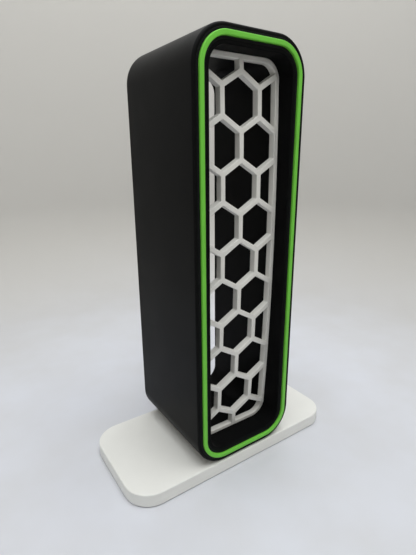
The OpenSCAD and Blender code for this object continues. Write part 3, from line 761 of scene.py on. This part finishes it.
def lattice():
    """The honeycomb, its bars' ends sloping down into the rim."""
    reach = DUCT_IN - GRILLE_FIT - LATTICE_MARGIN
    outline = rounded_box(2 * (CORNER_X + reach), 2 * (CORNER_Y + reach), reach)
    cells = [
        cell(column, row) for row in range(-ROWS_EACH_WAY, ROWS_EACH_WAY + 1)
        for column in (EVEN_ROW if row % 2 == 0 else ODD_ROW)
    ]
    loops = []
    for raw_loop in cut_away(outline, cells):
        loop = without_crowding(raw_loop, reach)
        radii = [
            MOUTH_CORNER_R if off_outline(point, reach) > -OUTLINE_SLACK else CELL_CORNER_R
            for point in loop
        ]
        loops.append(with_crossings(rounded(loop, radii), reach - BAR_END))

    def sinking(x, y, z):
        past = max(off_outline(Vector((x, y)), reach - BAR_END), 0) / BAR_END
        sunk = BAR_SINK * min(past, 1) if z > -LATTICE_DEPTH / 2 else 0
        return in_grille(x, y, z - sunk)

    return plate(loops, -LATTICE_DEPTH, 0, STRUT_EDGE_R, STRUT_EDGE_R, sinking)


def grille_rim():
    outer = DUCT_IN - GRILLE_FIT
    profile = rounded(
        [(outer - RIM_W, -RIM_DEPTH), (outer, -RIM_DEPTH), (outer, -LATTICE_PROUD),
         (outer - RIM_W, -LATTICE_PROUD)],
        [RIM_BACK_R, RIM_BACK_R, RIM_OUTER_R, RIM_INNER_R],
    )
    return sweep(profile, tower_stations(), in_grille)


def grille():
    piece("grille_honeycomb", joined(lattice(), grille_rim()), "grille_white", ["honeycomb_grille"])


def rear_frame():
    size = 2 * CORNER_X, 2 * CORNER_Y
    outer = rounded_box(size[0] + 2 * SLEEVE_IN, size[1] + 2 * SLEEVE_IN, SLEEVE_IN, CORNER_STEPS)
    duct_hole = rounded_box(size[0] + 2 * DUCT_OUT, size[1] + 2 * DUCT_OUT, DUCT_OUT, CORNER_STEPS)
    vents = [
        rounded_box(VENT_W, VENT_H, VENT_R, 4, (-WALL_X, row * VENT_PITCH))
        for row in range(-VENTS_EACH_WAY, VENTS_EACH_WAY + 1)
    ]
    inlet_spot = (0, height_of(INLET_LOW, INLET_HIGH))
    inlet = rounded_box(INLET_HOLE_W, INLET_HOLE_H, INLET_HOLE_R, 10, inlet_spot)
    pair_spot = (WALL_X, height_of(PAIR_LOW, PAIR_HIGH))
    pair = rounded_box(PAIR_HOLE_W, PAIR_HOLE_H, PAIR_HOLE_R, 10, pair_spot)
    pin = circle(PIN_HOLE_R, 24, (WALL_X, height_of(PIN_LOW, PIN_HIGH)))
    screw_holes = [circle(SCREW_HOLE_R, 24, spot) for spot in screw_spots()]
    outlines = [outer, duct_hole, inlet, pair, pin] + vents + screw_holes
    shape = plate(outlines, -BACK - FRAME_T, -BACK, REAR_EDGE_R, REAR_EDGE_R / 2, from_behind, 3)
    piece("rear_bezel", shape, "frame_black", ["rear_frame"])


def screw_spots():
    """The four corner screws, in the frame that looks at the back."""
    x = (SCREWS_HIGH.x - SCREWS_LOW.x) / 2 - SCREW_HEAD_R
    y = (SCREWS_HIGH.z - SCREWS_LOW.z) / 2 - SCREW_HEAD_R
    return [(sx * x, sy * y) for sx in (-1, 1) for sy in (-1, 1)]


def screw(centre, top, place):
    """A small pan-head screw with a hexagon socket, its head's face at height top."""
    hexagon = circle(SCREW_SOCKET_R, 6, centre)
    under_head = top - SCREW_HEAD_T
    socket_floor = top - SCREW_SOCKET_DEPTH
    shank_end = under_head - SCREW_SHANK
    outlines = [circle(SCREW_HEAD_R, 24, centre), hexagon]
    head = plate(outlines, under_head, top, SCREW_EDGE_R, FINE_EDGE_R, place, 3)
    core = [
        (AXIS_R, socket_floor), (SCREW_CORE_R, socket_floor), (SCREW_CORE_R, under_head),
        (SCREW_SHANK_R, under_head), (SCREW_SHANK_R, shank_end), (AXIS_R, shank_end),
    ]
    return joined(head, lathe(core, place, centre, 24))


def rear_screws():
    screws = [screw(spot, -BACK - SCREW_SUNK, from_behind) for spot in screw_spots()]
    piece("rear_screw_set", joined(*screws), "screw_black", ["rear_screws"], sharp=35)


def base_shell():
    centre_x = BASE_HIGH.x - BASE_CORNER_R
    centre_y = (BASE_HIGH.y - BASE_LOW.y) / 2 - BASE_CORNER_R
    middle_y = (BASE_HIGH.y + BASE_LOW.y) / 2
    bottom, top = BASE_LOW.z, BASE_HIGH.z
    inner = BASE_CORNER_R - BASE_WALL
    low_r, high_r = BASE_FLOOR_EDGE_R, BASE_EDGE_R
    profile = [
        Vector((inner, top - BASE_WALL)), Vector((inner, bottom + BASE_CHAMFER)),
        Vector((inner + BASE_CHAMFER, bottom)),
        *arc((BASE_CORNER_R - low_r, bottom + low_r), low_r, -90, 0, 4),
        *arc((BASE_CORNER_R - high_r, top - high_r), high_r, 0, 90, 8),
    ]

    def in_base(x, y, z):
        return in_part(x, y + middle_y, z)

    shape = sweep(profile, stations(centre_x, centre_y), in_base, closed=False)
    piece("base_slab", shape, "base_white", ["base_shell"])


def feet():
    low, high = FEET_LOW.z, FEET_HIGH.z
    profile = [
        Vector((AXIS_R, low)),
        *arc((FOOT_R - FOOT_EDGE_R, low + FOOT_EDGE_R), FOOT_EDGE_R, -90, 0, 4),
        Vector((FOOT_R, high)), Vector((AXIS_R, high)),
    ]
    pads = [
        lathe(profile, in_part, (x, y), 40)
        for x in (FEET_LOW.x + FOOT_R, FEET_HIGH.x - FOOT_R)
        for y in (FEET_LOW.y + FOOT_R, FEET_HIGH.y - FOOT_R)
    ]
    piece("foot_pads", joined(*pads), "foot_rubber", ["rubber_feet"])


def pair_button():
    """A capsule cap with a wider flange that stays behind the rear frame."""
    spot = (WALL_X, height_of(PAIR_LOW, PAIR_HIGH))
    tip, back = PAIR_LOW.y, PAIR_HIGH.y
    cap_outline = rounded_box(PAIR_W, PAIR_H, PAIR_R, 10, spot)
    cap = plate([cap_outline], tip, back, PAIR_EDGE_R, FINE_EDGE_R, from_behind)
    outline = rounded_box(PAIR_FLANGE_W, PAIR_FLANGE_H, PAIR_FLANGE_R, 10, spot)
    flange = plate([outline], tip, tip + FLANGE_T, FLANGE_EDGE_R, FLANGE_EDGE_R, from_behind)
    piece("pair_button_cap", joined(cap, flange), "button_grey", ["pair_button"], "pair_button")


def reset_pin():
    """A turned pin with a flange that stays behind the rear frame."""
    centre = (WALL_X, height_of(PIN_LOW, PIN_HIGH))
    tip, back = PIN_LOW.y, PIN_HIGH.y
    flange_r = (PIN_HIGH.x - PIN_LOW.x) / 2
    flange_low = -BACK - FRAME_T - FLANGE_SUNK
    flange_high = flange_low + FLANGE_T
    profile = [
        Vector((AXIS_R, tip)), Vector((PIN_R, tip)), Vector((PIN_R, flange_low)),
        Vector((flange_r, flange_low)), Vector((flange_r, flange_high)), Vector((PIN_R, flange_high)),
        *arc((PIN_R - PIN_TIP_R, back - PIN_TIP_R), PIN_TIP_R, 0, 90, 4), Vector((AXIS_R, back)),
    ]
    piece("reset_pin_tip", lathe(profile, from_behind, centre, 24), "pin_grey", ["reset_pin"], "reset_pin")


def power_inlet():
    y = height_of(INLET_LOW, INLET_HIGH)
    end, back = INLET_LOW.y, INLET_HIGH.y
    outside = rounded_box(INLET_W, INLET_H, INLET_R, 10, (0, y))
    inside = rounded_box(INLET_BORE_W, INLET_BORE_H, INLET_BORE_R, 10, (0, y))
    shell = plate([outside, inside], end, back, INLET_EDGE_R, FINE_EDGE_R, from_behind, 3)
    end_wall = plate([outside], end, end + INLET_END_T, FINE_EDGE_R, FINE_EDGE_R, from_behind, 2)
    piece("inlet_shell", joined(shell, end_wall), "socket_steel", ["power_inlet"])
    inlet_tongue(y)


def inlet_tongue(y):
    """The blade in the socket, with a row of flat contacts on each of its faces."""
    w, t = TONGUE_HIGH.x - TONGUE_LOW.x, TONGUE_HIGH.z - TONGUE_LOW.z
    tip, root = TONGUE_HIGH.y, TONGUE_LOW.y
    edge_r = CONTACT_EDGE_R
    blade = plate([rounded_box(w, t, BLADE_R, 4, (0, y))], root, tip, BLADE_EDGE_R, edge_r, from_behind)
    piece("inlet_blade", blade, "chip_black", ["inlet_tongue"])
    low, high = root + CONTACT_ROOT, tip - CONTACT_TIP
    contacts = []
    for side in (-1, 1):
        for k in range(CONTACT_COUNT):
            spot = ((k - (CONTACT_COUNT - 1) / 2) * CONTACT_PITCH, y + side * t / 2)
            outline = rounded_box(CONTACT_W, CONTACT_T, CONTACT_R, 3, spot)
            contacts.append(plate([outline], low, high, edge_r, edge_r, from_behind, 2))
    piece("inlet_contacts", joined(*contacts), "gold_contact")


def paint_carried_nodes():
    """Gives every CAD node that still shows the finish of its slot in the record."""
    for part in frame["record"]["subparts"]:
        node = frame["nodes"][part["node"]]
        if node.hide_render:
            continue
        for slot in node.material_slots:
            slot.material = MATERIALS[part["material_slot"]]


# ------------------------------------------------------------------ stage

def stage():
    """A pale round floor that curves up into a wall, open at the top: the turned shape's lid is left out."""
    profile = [
        Vector((AXIS_R, 0)), Vector((FLOOR_R, 0)),
        *arc((STAGE_R - BEND_R, BEND_R), BEND_R, -90, 0, 24),
        Vector((STAGE_R + WALL_FLARE, WALL_TOP)),
    ]
    verts, faces = lathe(profile, in_part, steps=128)
    without_lid = faces[:-1]
    made = soft_object("studio_floor", verts, without_lid, sharp=80)
    made.data.flip_normals()
    made.data.materials.append(studio_paint())


def area_light(name, place, target, size, watts, colour):
    light = bpy.data.lights.new(name, "AREA")
    light.shape, light.size, light.energy, light.color = "DISK", size, watts, colour
    made = bpy.data.objects.new(name, light)
    made.location = place
    made.rotation_euler = (Vector(target) - Vector(place)).to_track_quat("-Z", "Y").to_euler()
    bpy.context.scene.collection.objects.link(made)


def lights():
    """One wide soft light high up in front, and bright air all round."""
    place = [c * CAD_BOX[1].z for c in LIGHT_PLACE]
    area_light("overhead_soft", place, (0, 0, 0), LIGHT_SIZE, LIGHT_WATTS, LIGHT_COLOUR)
    world = bpy.data.worlds.new("studio_air")
    world.use_nodes = True
    air = world.node_tree.nodes["Background"]
    air.inputs["Color"].default_value = AIR_COLOUR
    air.inputs["Strength"].default_value = AIR_STRENGTH
    bpy.context.scene.world = world
    bpy.context.scene.view_settings.view_transform = "Standard"


# ------------------------------------------------------------------ camera

def camera():
    """A short lens close to the object, from the left and a little above."""
    azimuth, elevation, roll = (math.radians(a) for a in (VIEW_AZIMUTH, VIEW_ELEVATION, VIEW_ROLL))
    forward = Vector((
        math.sin(azimuth) * math.cos(elevation), math.cos(azimuth) * math.cos(elevation),
        math.sin(elevation),
    ))
    level = Vector((math.cos(azimuth), -math.sin(azimuth), 0))
    upright = level.cross(forward)
    right = level * math.cos(roll) + upright * math.sin(roll)
    up = upright * math.cos(roll) - level * math.sin(roll)
    lens = bpy.data.cameras.new("view")
    lens.lens, lens.sensor_width = VIEW_LENS, VIEW_SENSOR
    lens.clip_start, lens.clip_end = 0.01, 10
    made = bpy.data.objects.new("view", lens)
    turn = Matrix((right, up, -forward)).transposed()
    place = Vector(VIEW_PLACE) * CAD_BOX[1].z
    made.matrix_world = Matrix.Translation(place) @ turn.to_4x4()
    bpy.context.scene.collection.objects.link(made)
    bpy.context.scene.camera = made


sleeve()
duct()
front_frame()
light_ring()
grille()
rear_frame()
rear_screws()
base_shell()
feet()
pair_button()
reset_pin()
power_inlet()
paint_carried_nodes()
stage()
lights()
camera()
